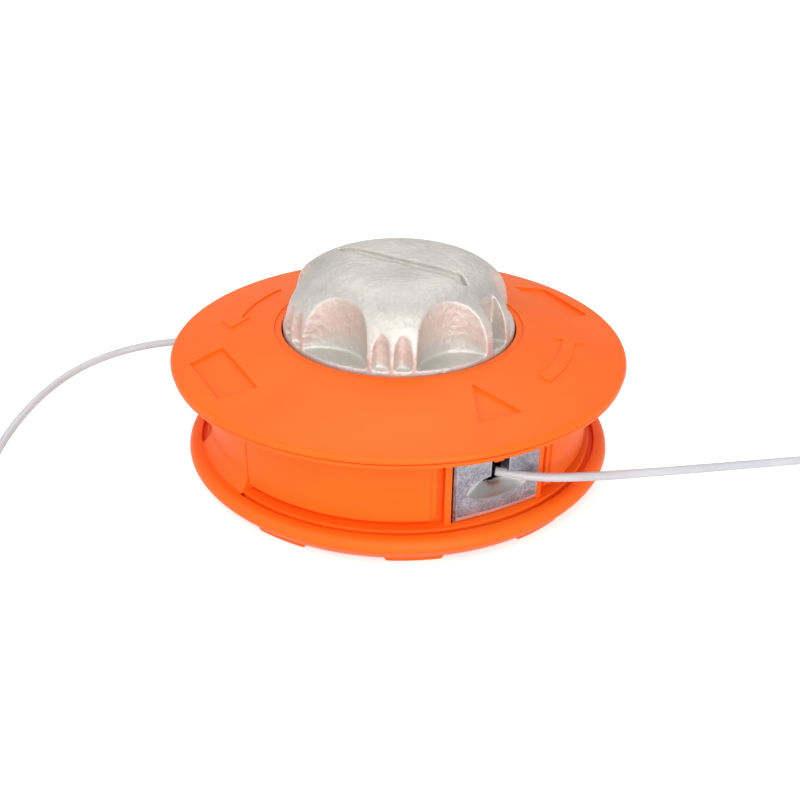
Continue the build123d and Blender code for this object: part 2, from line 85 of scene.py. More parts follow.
# the two free line ends, by the route that their solids follow
lineEnds = {
    "diameter": 2.4,
    "order": 3,
    "stretchSteps": 12,
    "roundSteps": 6,
    "routes": {
        "line_end_front": [
            (51.4, 1.2, 19.0),
            (54.5, 5.5, 18.3),
            (57.9, 12.1, 17.3),
            (62.0, 25.0, 16.2),
            (66.2, 44.0, 14.5),
            (69.3, 66.0, 11.6),
            (72.3, 91.0, 8.0),
            (74.8, 112.0, 5.2),
            (77.0, 129.0, 3.2),
        ],
        "line_end_back": [
            (-51.4, -1.2, 19.0),
            (-54.5, -5.5, 18.3),
            (-57.9, -12.1, 17.3),
            (-63.0, -26.0, 16.4),
            (-69.0, -43.5, 15.4),
            (-75.2, -59.5, 13.8),
            (-74.6, -76.0, 11.6),
            (-65.5, -91.0, 9.6),
            (-50.5, -104.5, 7.2),
            (-32.7, -114.8, 4.7),
            (-17.0, -121.0, 3.0),
        ],
    },
    "lengths": {"line_end_front": 0.1323, "line_end_back": 0.155},
}


def layLine(node, spec):
    route = [tuple(value * mm for value in point) for point in spec["routes"][node]]
    curve = bpy.data.curves.new(node + "Line", "CURVE")
    curve.dimensions = "3D"
    spline = curve.splines.new("NURBS")
    spline.points.add(len(route) - 1)
    for point, place in zip(spline.points, route):
        point.co = (*place, 1)
        point.radius = spec["diameter"] / 2 * mm
    spline.order_u = spec["order"]
    spline.use_endpoint_u = True
    spline.resolution_u = spec["stretchSteps"]
    curve.bevel_depth = 1.0  # each point's radius gives the thickness
    curve.bevel_resolution = spec["roundSteps"]
    curve.use_fill_caps = True
    line = bpy.data.objects.new(node + "Line", curve)
    bpy.context.scene.collection.objects.link(line)
    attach(line, "housing")
    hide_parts(node)
    return line


lines = [layLine(node, lineEnds) for node in lineEnds["routes"]]
print("camera and line ends placed")


# shader helpers
def addNode(tree, kind, values=None, **settings):
    node = tree.nodes.new(kind)
    for key, value in settings.items():
        setattr(node, key, value)
    for key, value in (values or {}).items():
        node.inputs[key].default_value = value
    return node


def newGroup(name, inputs, outputs):
    group = bpy.data.node_groups.new(name, "ShaderNodeTree")
    for label, kind, value in inputs:
        socket = group.interface.new_socket(label, in_out="INPUT", socket_type=kind)
        socket.default_value = value
    for label, kind in outputs:
        group.interface.new_socket(label, in_out="OUTPUT", socket_type=kind)
    return group, group.nodes.new("NodeGroupInput"), group.nodes.new("NodeGroupOutput")


def mathNode(tree, operation, first, second=None, clamp=False):
    node = addNode(tree, "ShaderNodeMath", operation=operation, use_clamp=clamp)
    for socket, value in zip(node.inputs, (first, second)):
        if value is None:
            continue
        if isinstance(value, (int, float)):
            socket.default_value = value
        else:
            tree.links.new(value, socket)
    return node.outputs[0]


# fine grain and broad tone of a moulded or cast skin
def makeSkinGrain():
    group, given, out = newGroup(
        "skinGrain",
        [
            ("Fine Scale", "NodeSocketFloat", 2500.0),
            ("Broad Scale", "NodeSocketFloat", 45.0),
            ("Pits", "NodeSocketFloat", 0.3),
            ("Specks", "NodeSocketFloat", 0.0),
        ],
        [("Height", "NodeSocketFloat"), ("Tone", "NodeSocketFloat")],
    )
    where = addNode(group, "ShaderNodeTexCoord")
    fine = addNode(group, "ShaderNodeTexNoise", {"Detail": 3.0, "Roughness": 0.6})
    pits = addNode(group, "ShaderNodeTexVoronoi", {"Randomness": 1.0}, feature="F1")
    broad = addNode(group, "ShaderNodeTexNoise", {"Detail": 4.0, "Roughness": 0.55, "Distortion": 0.4})
    for node in (fine, pits, broad):
        group.links.new(where.outputs["Object"], node.inputs["Vector"])
    group.links.new(given.outputs["Fine Scale"], fine.inputs["Scale"])
    pitScale = mathNode(group, "MULTIPLY", given.outputs["Fine Scale"], 0.45)  # pits are wider than the grain
    group.links.new(pitScale, pits.inputs["Scale"])
    group.links.new(given.outputs["Broad Scale"], broad.inputs["Scale"])
    sunk = mathNode(group, "MULTIPLY", pits.outputs["Distance"], given.outputs["Pits"])
    group.links.new(mathNode(group, "ADD", fine.outputs["Fac"], sunk), out.inputs["Height"])
    swing = mathNode(group, "SUBTRACT", fine.outputs["Fac"], 0.5)  # lighter and darker by turns
    specks = mathNode(group, "MULTIPLY", swing, given.outputs["Specks"])
    group.links.new(mathNode(group, "ADD", broad.outputs["Fac"], specks), out.inputs["Tone"])
    return group


# mask of the edges painted lighter, partly as wear from handling and tumbling and partly as a painted
# highlight along them
def makeEdgeWearGlint():
    group, given, out = newGroup(
        "edgeWearGlint",
        [
            ("Radius", "NodeSocketFloat", 0.0006),
            ("Gain", "NodeSocketFloat", 4.0),
            ("Breakup", "NodeSocketFloat", 0.4),
        ],
        [("Mask", "NodeSocketFloat")],
    )
    soft = addNode(group, "ShaderNodeBevel", samples=6)
    group.links.new(given.outputs["Radius"], soft.inputs["Radius"])
    surface = addNode(group, "ShaderNodeNewGeometry")
    same = addNode(group, "ShaderNodeVectorMath", operation="DOT_PRODUCT")
    group.links.new(soft.outputs["Normal"], same.inputs[0])
    group.links.new(surface.outputs["Normal"], same.inputs[1])
    bend = mathNode(group, "SUBTRACT", 1.0, same.outputs["Value"], clamp=True)
    gained = mathNode(group, "MULTIPLY", bend, given.outputs["Gain"], clamp=True)
    where = addNode(group, "ShaderNodeTexCoord")
    patches = addNode(group, "ShaderNodeTexNoise", {"Scale": 260.0, "Detail": 3.0})
    group.links.new(where.outputs["Object"], patches.inputs["Vector"])
    missing = mathNode(group, "MULTIPLY", patches.outputs["Fac"], given.outputs["Breakup"])
    group.links.new(mathNode(group, "SUBTRACT", gained, missing, clamp=True), out.inputs["Mask"])
    return group


skinGrain = makeSkinGrain()
edgeWearGlint = makeEdgeWearGlint()


def skinMaterial(name, spec):
    made = bpy.data.materials.new(name)
    made.use_nodes = True
    tree = made.node_tree
    shader = tree.nodes["Principled BSDF"]
    for key, value in spec["shader"].items():
        shader.inputs[key].default_value = value
    grain = addNode(tree, "ShaderNodeGroup", node_tree=skinGrain)
    for key, value in spec["grain"].items():
        grain.inputs[key].default_value = value
    # edge mask: wear and a painted highlight along the edges
    wearGlint = addNode(tree, "ShaderNodeGroup", node_tree=edgeWearGlint)
    for key, value in spec["wearGlint"].items():
        wearGlint.inputs[key].default_value = value
    tones = addNode(tree, "ShaderNodeValToRGB")
    tones.color_ramp.elements[0].position, tones.color_ramp.elements[1].position = spec["toneSpan"]
    tones.color_ramp.elements[0].color = (*spec["tones"][0], 1)
    tones.color_ramp.elements[1].color = (*spec["tones"][1], 1)
    tree.links.new(grain.outputs["Tone"], tones.inputs["Fac"])
    # edges painted lighter, as wear and as a painted highlight
    wearGlintMix = addNode(tree, "ShaderNodeMix", data_type="RGBA")
    wearGlintMix.inputs["B"].default_value = (*spec["wornGlintEdges"], 1)
    tree.links.new(wearGlint.outputs["Mask"], wearGlintMix.inputs["Factor"])
    tree.links.new(tones.outputs["Color"], wearGlintMix.inputs["A"])
    tree.links.new(wearGlintMix.outputs["Result"], shader.inputs["Base Color"])
    (least, most), wornGlintEdges = spec["roughness"]
    broadRough = addNode(tree, "ShaderNodeMapRange", {"To Min": least, "To Max": most})
    tree.links.new(grain.outputs["Tone"], broadRough.inputs["Value"])
    rough = addNode(tree, "ShaderNodeMix", data_type="FLOAT")
    rough.inputs["B"].default_value = wornGlintEdges
    tree.links.new(wearGlint.outputs["Mask"], rough.inputs["Factor"])
    tree.links.new(broadRough.outputs["Result"], rough.inputs["A"])
    tree.links.new(rough.outputs["Result"], shader.inputs["Roughness"])
    strength, depth = spec["bump"]
    bump = addNode(tree, "ShaderNodeBump", {"Strength": strength, "Distance": depth * mm})
    tree.links.new(grain.outputs["Height"], bump.inputs["Height"])
    tree.links.new(bump.outputs["Normal"], shader.inputs["Normal"])
    return made


# tones and the pair in roughness span the broad patches
# the edge colour and the last value in roughness belong to the edges, painted lighter as wear and as a
# painted highlight, and bump is strength and depth
finishes = {
    "orangeMoulded": {
        "shader": {"Metallic": 0.0, "IOR": 1.5, "Specular IOR Level": 0.2},
        "grain": {"Fine Scale": 2600.0, "Broad Scale": 38.0, "Pits": 0.25},
        "wearGlint": {"Radius": 0.0005, "Gain": 2.2, "Breakup": 0.35},
        "tones": ((0.93, 0.128, 0.007), (0.96, 0.144, 0.008)),
        "toneSpan": (0.3, 0.72),
        "wornGlintEdges": (0.98, 0.19, 0.02),
        "roughness": ((0.4, 0.5), 0.34),
        "bump": (0.09, 0.05),
    },
    "castAluminium": {
        "shader": {"Metallic": 0.6},
        "grain": {"Fine Scale": 1000.0, "Broad Scale": 75.0, "Pits": 0.9, "Specks": 0.4},
        "wearGlint": {"Radius": 0.0007, "Gain": 3.4, "Breakup": 0.45},
        "tones": ((0.52, 0.495, 0.46), (0.67, 0.64, 0.595)),
        "toneSpan": (0.3, 0.7),
        "wornGlintEdges": (0.88, 0.87, 0.84),
        "roughness": ((0.46, 0.6), 0.3),
        "bump": (0.75, 0.22),
    },
    "castEyelet": {
        "shader": {"Metallic": 1.0},
        "grain": {"Fine Scale": 1500.0, "Broad Scale": 160.0, "Pits": 0.7, "Specks": 1.1},
        "wearGlint": {"Radius": 0.0005, "Gain": 3.0, "Breakup": 0.4},
        "tones": ((0.21, 0.215, 0.25), (0.40, 0.405, 0.45)),
        "toneSpan": (0.32, 0.7),
        "wornGlintEdges": (0.85, 0.85, 0.86),
        "roughness": ((0.38, 0.52), 0.2),
        "bump": (0.7, 0.16),
    },
    "polishedThroat": {
        "shader": {"Metallic": 1.0},
        "grain": {"Fine Scale": 900.0, "Broad Scale": 120.0, "Pits": 0.1},
        "wearGlint": {"Radius": 0.0005, "Gain": 3.0, "Breakup": 0.2},
        "tones": ((0.40, 0.395, 0.39), (0.50, 0.495, 0.49)),
        "toneSpan": (0.3, 0.7),
        "wornGlintEdges": (0.95, 0.95, 0.94),
        "roughness": ((0.2, 0.3), 0.12),
        "bump": (0.05, 0.05),
    },
    "machinedEdge": {
        "shader": {"Metallic": 0.8},
        "grain": {"Fine Scale": 1400.0, "Broad Scale": 150.0, "Pits": 0.1},
        "wearGlint": {"Radius": 0.0004, "Gain": 3.0, "Breakup": 0.3},
        "tones": ((0.78, 0.775, 0.78), (0.86, 0.855, 0.86)),
        "toneSpan": (0.3, 0.7),
        "wornGlintEdges": (0.96, 0.96, 0.96),
        "roughness": ((0.2, 0.3), 0.16),
        "bump": (0.1, 0.05),
    },
    "blackNylon": {
        "shader": {"Metallic": 0.0, "IOR": 1.53},
        "grain": {"Fine Scale": 2200.0, "Broad Scale": 40.0, "Pits": 0.3},
        "wearGlint": {"Radius": 0.0005, "Gain": 2.0, "Breakup": 0.3},
        "tones": ((0.012, 0.012, 0.013), (0.022, 0.022, 0.023)),
        "toneSpan": (0.3, 0.7),
        "wornGlintEdges": (0.06, 0.06, 0.06),
        "roughness": ((0.42, 0.55), 0.35),
        "bump": (0.12, 0.06),
    },
    "zincSteel": {
        "shader": {"Metallic": 1.0},
        "grain": {"Fine Scale": 1600.0, "Broad Scale": 160.0, "Pits": 0.3},
        "wearGlint": {"Radius": 0.0004, "Gain": 3.0, "Breakup": 0.4},
        "tones": ((0.44, 0.44, 0.43), (0.58, 0.58, 0.56)),
        "toneSpan": (0.3, 0.7),
        "wornGlintEdges": (0.8, 0.8, 0.79),
        "roughness": ((0.3, 0.42), 0.2),
        "bump": (0.1, 0.05),
    },
    "springWire": {
        "shader": {"Metallic": 1.0},
        "grain": {"Fine Scale": 2400.0, "Broad Scale": 300.0, "Pits": 0.2},
        "wearGlint": {"Radius": 0.0003, "Gain": 2.0, "Breakup": 0.4},
        "tones": ((0.32, 0.32, 0.33), (0.42, 0.42, 0.43)),
        "toneSpan": (0.3, 0.7),
        "wornGlintEdges": (0.6, 0.6, 0.6),
        "roughness": ((0.24, 0.36), 0.2),
        "bump": (0.08, 0.04),
    },
    "nylonLine": {
        "shader": {"Metallic": 0.0, "IOR": 1.53, "Transmission Weight": 0.25},
        "grain": {"Fine Scale": 1100.0, "Broad Scale": 60.0, "Pits": 0.05},
        "wearGlint": {"Radius": 0.0004, "Gain": 1.0, "Breakup": 0.8},
        "tones": ((0.60, 0.61, 0.635), (0.68, 0.69, 0.715)),
        "toneSpan": (0.3, 0.7),
        "wornGlintEdges": (0.98, 0.97, 0.97),
        "roughness": ((0.24, 0.34), 0.3),
        "bump": (0.04, 0.04),
    },
}
skins = {name: skinMaterial(name, spec) for name, spec in finishes.items()}
for line in lines:
    line.data.materials.append(skins["nylonLine"])
print("finishes made:", ", ".join(skins))


# mesh helpers, in millimetres until a piece is finished
touch = 0.01  # what is nearer than this lies on a face or a plane


def everything(bm):
    return bm.verts[:] + bm.edges[:] + bm.faces[:]


def spunAbout(bm, angle):
    bmesh.ops.rotate(bm, verts=bm.verts, cent=(0, 0, 0), matrix=Matrix.Rotation(radians(angle), 3, "Z"))
    return bm


def scaled(bm, factor):
    bmesh.ops.scale(bm, vec=(factor, factor, factor), verts=bm.verts)
    return bm


def onRay(place, angle):
    a = radians(angle)
    aside = place.y * cos(a) - place.x * sin(a)
    along = place.x * cos(a) + place.y * sin(a)
    return abs(aside) < touch and along > 0


def arcSteps(span, perDegree=1.0, least=4):
    return max(least, int(span * perDegree))


def turned(points, steps, rounds=None, start=0.0, span=360.0, roundSteps=5, weld=0.0005):
    bm = bmesh.new()
    corners = [bm.verts.new((r, 0, z)) for r, z in points]
    bm.faces.new(corners)
    for index, radius in (rounds or {}).items():
        bmesh.ops.bevel(
            bm,
            geom=[corners[index]],
            offset=radius,
            offset_type="OFFSET",
            segments=roundSteps,
            profile=0.5,
            affect="VERTICES",
            material=-1,
        )
    spunAbout(bm, start)
    if span == 360.0:
        bmesh.ops.delete(bm, geom=bm.faces[:], context="FACES_ONLY")
    bmesh.ops.spin(
        bm,
        geom=everything(bm),
        cent=(0, 0, 0),
        axis=(0, 0, 1),
        angle=radians(span),
        steps=steps,
        use_merge=span == 360.0,
    )
    bmesh.ops.remove_doubles(bm, verts=bm.verts, dist=weld)
    openEdges = [edge for edge in bm.edges if edge.is_boundary]
    if openEdges:
        bmesh.ops.holes_fill(bm, edges=openEdges)
    bmesh.ops.recalc_face_normals(bm, faces=bm.faces)
    return bm


def prism(outline, lift):
    bm = bmesh.new()
    base = bm.faces.new([bm.verts.new(point) for point in outline])
    risen = bmesh.ops.extrude_face_region(bm, geom=[base], use_keep_orig=True)
    raised = [item for item in risen["geom"] if isinstance(item, bmesh.types.BMVert)]
    bmesh.ops.translate(bm, verts=raised, vec=lift)
    bmesh.ops.recalc_face_normals(bm, faces=bm.faces)
    return bm


def post(radius, height, place, segments):
    bm = bmesh.new()
    bmesh.ops.create_cone(
        bm,
        cap_ends=True,
        segments=segments,
        radius1=radius,
        radius2=radius,
        depth=height,
        matrix=Matrix.Translation(place),
    )
    return bm


def block(size, place):
    bm = bmesh.new()
    bmesh.ops.create_cube(bm, size=1.0, matrix=Matrix.Translation(place) @ Matrix.Diagonal((*size, 1)))
    return bm


def joined(parts):
    whole = bmesh.new()
    for part in parts:
        mesh = bpy.data.meshes.new("part")
        part.to_mesh(mesh)
        part.free()
        whole.from_mesh(mesh)
        bpy.data.meshes.remove(mesh)
    return whole


def looseObject(bm, slots=()):
    mesh = bpy.data.meshes.new("blank")
    bm.to_mesh(mesh)
    bm.free()
    for slot in slots:
        mesh.materials.append(slot)
    thing = bpy.data.objects.new("blank", mesh)
    bpy.context.scene.collection.objects.link(thing)
    return thing


def settled(thing):
    bpy.context.view_layer.update()
    mesh = bpy.data.meshes.new_from_object(thing.evaluated_get(bpy.context.evaluated_depsgraph_get()))
    old = thing.data
    thing.modifiers.clear()
    thing.data = mesh
    bpy.data.meshes.remove(old)
    return thing


def dropObject(thing):
    mesh = thing.data
    bpy.data.objects.remove(thing)
    bpy.data.meshes.remove(mesh)


def takenBack(thing):
    bm = bmesh.new()
    bm.from_mesh(thing.data)
    dropObject(thing)
    return bm


def slottedCut(body, tool, bodySlots=(), toolSlots=()):
    base = looseObject(body, bodySlots)
    other = looseObject(tool, toolSlots)
    cut = base.modifiers.new("cut", "BOOLEAN")
    cut.operation = "DIFFERENCE"
    cut.object = other
    cut.solver = "EXACT"
    cut.use_self = True
    if toolSlots:
        cut.material_mode = "TRANSFER"
    settled(base)
    slots = list(base.data.materials)
    dropObject(other)
    return takenBack(base), slots


def plainCut(body, tool):
    return slottedCut(body, tool)[0]


def finishPiece(name, bm, slots, body, node, edge=0.0, edgeSteps=3, edgeAngle=28.0, sharp=40.0):
    piece = looseObject(scaled(bm, mm), slots)
    piece.name = name
    piece.data.name = name
    if edge:
        rounding = piece.modifiers.new("edges", "BEVEL")
        rounding.width = edge * mm
        rounding.segments = edgeSteps
        rounding.limit_method = "ANGLE"
        rounding.angle_limit = radians(edgeAngle)
        rounding.use_clamp_overlap = True
        settled(piece)
    piece.data.shade_smooth()
    piece.data.set_sharp_from_angle(angle=radians(sharp))
    flow = piece.modifiers.new("flow", "WEIGHTED_NORMAL")
    flow.keep_sharp = True
    flow.weight = 80
    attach(piece, body)
    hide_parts(node)
    print(name, len(piece.data.polygons), "faces")
    return piece


# cover: shallow cone with the knob hole, two-band rim, skirt panels, hooks and tongues
cover = {
    "rim": 65.25,
    "rimTop": 34.9,
    "edgeRounds": {"hole": 0.35, "rim": 1.2, "seam": 0.25, "ringFoot": 0.35},
    "edge": 0.22,
    "rise": 6.1,
    "wall": 2.2,
    "hole": 33.65,
    "step": (35.55, 0.5, 0.15),  # radius, depth, lean
    "lip": (35.55, 1.2),  # radius, depth
    "band": 1.6,
    "seam": (0.45, 1.0),  # height, depth
    "ring": (1.2, 0.4, 2.2),  # height, set-in, width
    "root": 0.8,  # how far the parts below run up into the cone
    "skirt": 55.5,
    "skirtWall": 2.2,
    "skirtFoot": 10.2,
    "panel": (17.7, 74.45),  # first and last angle
    "panelEdge": (1.7, 0.5),  # span, step
    "latchSpan": 15.2,
    "hook": (56.85, 1.4, 32.98, 1.1),  # radius, wall, ledge, its thickness
    "hookGap": 0.25,
    "tongue": (52.83, 55.0, 2.4, 1.0, 24.1),  # near, far, half width, taper, foot
    "triangle": (40.35, 54.45, 6.3),  # near, far, half width
    "pad": (48.75, 58.95, 13.6, 11.5),  # near, far, half width at each
    "markDepth": 0.9,
    "markClear": 4.0,
    "arrow": (46.8, 50.4, 24.0, 54.0, 7.5, 2.6),  # near, far, first and last angle, head's span and overhang
    "arrowProud": 0.55,
    "arrowSunk": 0.6,
}


def coneTop(r):
    return cover["rimTop"] + (cover["rim"] - r) * cover["rise"] / (cover["rim"] - cover["hole"])


def coneUnder(r):
    return coneTop(r) - cover["wall"]


def onCone(r, angle, above=0.0):
    a = radians(angle)
    return (r * cos(a), r * sin(a), coneTop(r) + above)


def markCut(outline, side, spec):
    points = [(x, y, coneTop(sqrt(x * x + y * y)) - spec["markDepth"]) for x, y in outline]
    return spunAbout(prism(points, (0, 0, spec["markClear"])), side)


def makeCover(spec):
    rim, top, edges = spec["rim"], spec["rimTop"], spec["edgeRounds"]
    stepR, stepH, stepLean = spec["step"]
    lipR, lipH = spec["lip"]
    seamH, seamIn = spec["seam"]
    ringH, ringIn, ringW = spec["ring"]
    bandFoot = top - spec["band"]
    ringTop = bandFoot - seamH
    ringR = rim - ringIn
    disc = turned(
        [
            (spec["hole"], coneTop(spec["hole"]) - stepH),
            (stepR, coneTop(stepR) - stepH),
            (stepR + stepLean, coneTop(stepR)),
            (rim, top),
            (rim, bandFoot),
            (rim - seamIn, bandFoot),
            (rim - seamIn, ringTop),
            (ringR, ringTop),
            (ringR, ringTop - ringH),
            (ringR - ringW, ringTop - ringH),
            (ringR - ringW, coneUnder(ringR - ringW)),
            (lipR, coneUnder(lipR)),
            (lipR, coneUnder(lipR) - lipH),
            (spec["hole"], coneUnder(lipR) - lipH),
        ],
        steps=288,
        rounds={0: edges["hole"], 3: edges["rim"], 4: edges["seam"], 7: edges["seam"], 8: edges["ringFoot"]},
    )
    # triangles and pads sunk into the cone
    cuts = []
    nearR, farR, half = spec["triangle"]
    for side in (0, 180):
        outline = [(nearR, 0), (farR, -half), (farR, half)]
        cuts.append(markCut(outline, side, spec))
    nearR, farR, nearHalf, farHalf = spec["pad"]
    for side in (90, 270):
        outline = [(nearR, -nearHalf), (farR, -farHalf), (farR, farHalf), (nearR, nearHalf)]
        cuts.append(markCut(outline, side, spec))
    parts = [plainCut(disc, joined(cuts))]
    # skirt panels, each with a narrow step along one edge
    root = spec["root"]
    outer, inner = spec["skirt"], spec["skirt"] - spec["skirtWall"]
    edgeSpan, edgeStep = spec["panelEdge"]
    first, last = spec["panel"]
    strips = ((first, first + edgeSpan, outer - edgeStep), (first + edgeSpan, last, outer))
    for start, way in ((0, 1), (180, -1), (180, 1), (360, -1)):
        for near, far, reach in strips:
            section = [
                (inner, spec["skirtFoot"]),
                (reach, spec["skirtFoot"]),
                (reach, coneUnder(reach) + root),
                (inner, coneUnder(inner) + root),
            ]
            begin = start + near if way > 0 else start - far
            parts.append(turned(section, arcSteps(far - near, 1.2), start=begin, span=far - near))
    # hooks over the latch walls
    hookR, hookT, ledge, hookH = spec["hook"]
    hookIn, hookOut = outer + spec["hookGap"], hookR + hookT
    for side in (90, 270):
        section = [
            (hookR, coneUnder(hookR) + root),
            (hookR, ledge),
            (hookIn, ledge),
            (hookIn, ledge - hookH),
            (hookOut, ledge - hookH),
            (hookOut, coneUnder(hookOut) + root),
        ]
        parts.append(turned(section, 36, start=side - spec["latchSpan"], span=2 * spec["latchSpan"]))
    # tongues in the eyelets' slots
    nearR, farR, half, taper, foot = spec["tongue"]
    for side in (0, 180):
        head = coneUnder(nearR) + root
        outline = [
            (nearR, -half, head),
            (nearR, half, head),
            (nearR, half - taper, foot),
            (nearR, taper - half, foot),
        ]
        parts.append(spunAbout(prism(outline, (farR - nearR, 0, 0)), side))
    # arrows that show which way the knob winds
    nearR, farR, first, last, headSpan, headOver = spec["arrow"]
    proud, sunk = spec["arrowProud"], spec["arrowSunk"]
    for side in (0, 180):
        section = [
            (nearR, coneTop(nearR) - sunk),
            (farR, coneTop(farR) - sunk),
            (farR, coneTop(farR) + proud),
            (nearR, coneTop(nearR) + proud),
        ]
        parts.append(turned(section, 28, start=side + first, span=last - first))
        middle = (nearR + farR) / 2
        head = [
            onCone(nearR - headOver, side + last, -sunk),
            onCone(farR + headOver, side + last, -sunk),
            onCone(middle, side + last + headSpan, -sunk),
        ]
        parts.append(prism(head, (0, 0, sunk + proud)))
    finishPiece(
        "coverShell",
        joined(parts),
        [skins["orangeMoulded"]],
        "housing",
        "cover",
        edge=spec["edge"],
    )


makeCover(cover)

# housing: flange with its groove and feet, floor, drive boss, posts, kerbs and latch walls
housing = {
    "footH": 1.1,
    "feet": (10, 12.1, 7.9, 3.6, 0.9),  # count, first angle, half span, depth, slope
    "footSide": (0.15, 0.3),  # lean, root in the flange
    "floor": 8.25,
    "floorWall": 2.4,
    "flange": (62.2, 58.6, 56.0),  # lip, its foot, its inner wall
    "flangeDraft": 3.7,
    "edgeRounds": {"lipTop": 2.6, "lipSide": 1.8, "lipFoot": 0.4, "groove": 0.3},
    "edge": 0.2,
    "groove": (57.0, 58.4, 1.7),  # inner, outer, depth
    "boss": (12.015, 31.49),  # radius, top
    "shaft": 5.6,
    "rib": (1.6, 0.8, 0.4),  # thickness, roots at its ends and its top
    "root": 0.5,  # how far the walls start below the floor
    "wall": 55.5,
    "wallIn": 53.3,
    "post": (14.75, 0.95, 4.6),  # angle, half span, depth
    "kerb": (51.6, 53.0, 6.0, 12.25),  # inner, outer, leg's span, top
    "latch": (15.2, 2.4, 33.23, 1.1, 1.2),  # half span, root, barb's height, reach and thickness
    "latchRound": 2.2,
    "latchFill": 0.3,  # how far a latch's root runs past the groove
    "panelEnd": 74.45,
    "seat": 0.15,
}


def makeHousing(spec):
    footH, floor, edges = spec["footH"], spec["floor"], spec["edgeRounds"]
    lip, lipFoot, lipIn = spec["flange"]
    grooveIn, grooveOut, grooveDeep = spec["groove"]
    bossR, bossTop = spec["boss"]
    under = floor - spec["floorWall"]
    ring = turned(
        [
            (spec["shaft"], footH),
            (bossR, footH),
            (bossR, under),
            (lipIn, under),
            (lipIn, footH),
            (lipFoot, footH),
            (lip, footH + spec["flangeDraft"]),
            (lip, floor),
            (grooveOut, floor),
            (grooveOut, floor - grooveDeep),
            (grooveIn, floor - grooveDeep),
            (grooveIn, floor),
            (bossR, floor),
            (bossR, bossTop),
            (spec["shaft"], bossTop),
        ],
        steps=288,
        rounds={
            7: edges["lipTop"],
            6: edges["lipSide"],
            5: edges["lipFoot"],
            8: edges["groove"],
            11: edges["groove"],
        },
    )
    parts = [ring]
    # foot tabs with sloped ends, and a rib below the floor at each
    count, first, half, deep, slope = spec["feet"]
    footLean, footRoot = spec["footSide"]
    ribWide, ribRoot, ribUp = spec["rib"]
    tabSection = [
        (lipFoot - deep, 0),
        (lipFoot - footLean, 0),
        (lipFoot, footH + footRoot),
        (lipFoot - deep, footH + footRoot),
    ]
    ribSize = (lipIn - bossR + 2 * ribRoot, ribWide, under - footH + ribUp)
    ribPlace = ((lipIn + bossR) / 2, 0, (under + footH + ribUp) / 2)
    for index in range(count):
        middle = first + index * 360 / count
        tab = turned(tabSection, 14, start=middle - half, span=2 * half)
        for end, way in ((middle - half, 1), (middle + half, -1)):
            low = [v for v in tab.verts if v.co.z < touch and onRay(v.co, end)]
            lean = Matrix.Rotation(way * slope / lipFoot, 3, "Z")
            bmesh.ops.rotate(tab, verts=low, cent=(0, 0, 0), matrix=lean)
        parts.append(tab)
        parts.append(spunAbout(block(ribSize, ribPlace), middle))
    # posts beside the eyelets, with a leg and a kerb behind the panels
    postAngle, postHalf, postDeep = spec["post"]
    kerbIn, kerbOut, legSpan, kerbTop = spec["kerb"]
    wall, low = spec["wall"], floor - spec["root"]
    postTop = coneUnder(wall) - spec["seat"]
    legTop = coneUnder(kerbOut) - spec["seat"]
    for side in (0, 180):
        for way in (1, -1):
            section = [(wall - postDeep, low), (wall, low), (wall, postTop), (wall - postDeep, postTop)]
            parts.append(turned(section, 4, start=side + way * postAngle - postHalf, span=2 * postHalf))
            for near, far, top in (
                (postAngle, postAngle + legSpan, legTop),
                (postAngle + legSpan, spec["panelEnd"], kerbTop),
            ):
                section = [(kerbIn, low), (kerbOut, low), (kerbOut, top), (kerbIn, top)]
                begin = side + near if way > 0 else side - far
                parts.append(turned(section, arcSteps(far - near), start=begin, span=far - near))
    # latch walls over a plain stretch of the flange
    half, root, barb, barbOut, barbH = spec["latch"]
    filled = grooveOut + spec["latchFill"]
    for side in (90, 270):
        section = [
            (spec["wallIn"], low),
            (filled, low),
            (filled, floor),
            (wall + root, floor),
            (wall, floor + root),
            (wall, barb),
            (wall + barbOut, barb),
            (wall, barb + barbH),
            (spec["wallIn"], barb + barbH),
        ]
        parts.append(turned(section, 36, {4: spec["latchRound"]}, start=side - half, span=2 * half))
    finishPiece(
        "housingShell",
        joined(parts),
        [skins["orangeMoulded"]],
        "housing",
        "housing",
        edge=spec["edge"],
    )


makeHousing(housing)

# eyelets: cast plates with a flared oval mouth and a slot open to the top
eyelet = {
    "outer": 55.5,
    "inner": 51.5,
    "faceRadius": 110.0,
    "faceSpan": 18.0,
    "half": 13.4,
    "foot": 8.4,
    "top": 31.78,
    "chamfer": 0.8,
    "footChamfer": 1.2,
    "footBand": 2.1,
    "bright": (0.55, 0.85, 0.5),  # normals of the machined edges: outward from, to, and aside from
    "edge": 0.25,
    "mouthUp": 17.4,
    "slot": (5.4, 12.0),  # width, cutter's depth
    "spare": 2.0,  # how far cuts run past the back and the top
    # reach, half width, half height and lift of each oval
    "funnel": [
        (49.0, 2.9, 2.0, 1.7),
        (51.7, 3.1, 2.1, 1.7),
        (52.4, 4.4, 2.3, 1.5),
        (53.2, 6.4, 2.6, 1.1),
        (54.2, 8.5, 3.0, 0.5),
        (55.0, 9.8, 3.25, 0.1),
        (55.35, 10.2, 3.42, 0.0),
        (55.6, 10.6, 3.7, 0.0),
        (57.2, 13.6, 5.6, 0.0),
    ],
}


def ovalFunnel(spec):
    bm = bmesh.new()
    rings = []
    for reach, halfW, halfH, lift in spec["funnel"]:
        oval = Matrix.Rotation(radians(90), 4, "Y") @ Matrix.Diagonal((halfH, halfW, 1, 1))
        place = Matrix.Translation((reach, 0, spec["mouthUp"] + lift)) @ oval
        ring = bmesh.ops.create_circle(bm, cap_ends=False, segments=96, radius=1.0, matrix=place)
        rings.append(list({edge for vert in ring["verts"] for edge in vert.link_edges}))
    for near, far in zip(rings, rings[1:]):
        bmesh.ops.bridge_loops(bm, edges=near + far)
    bmesh.ops.holes_fill(bm, edges=[edge for edge in bm.edges if edge.is_boundary])
    bmesh.ops.recalc_face_normals(bm, faces=bm.faces)
    return bm


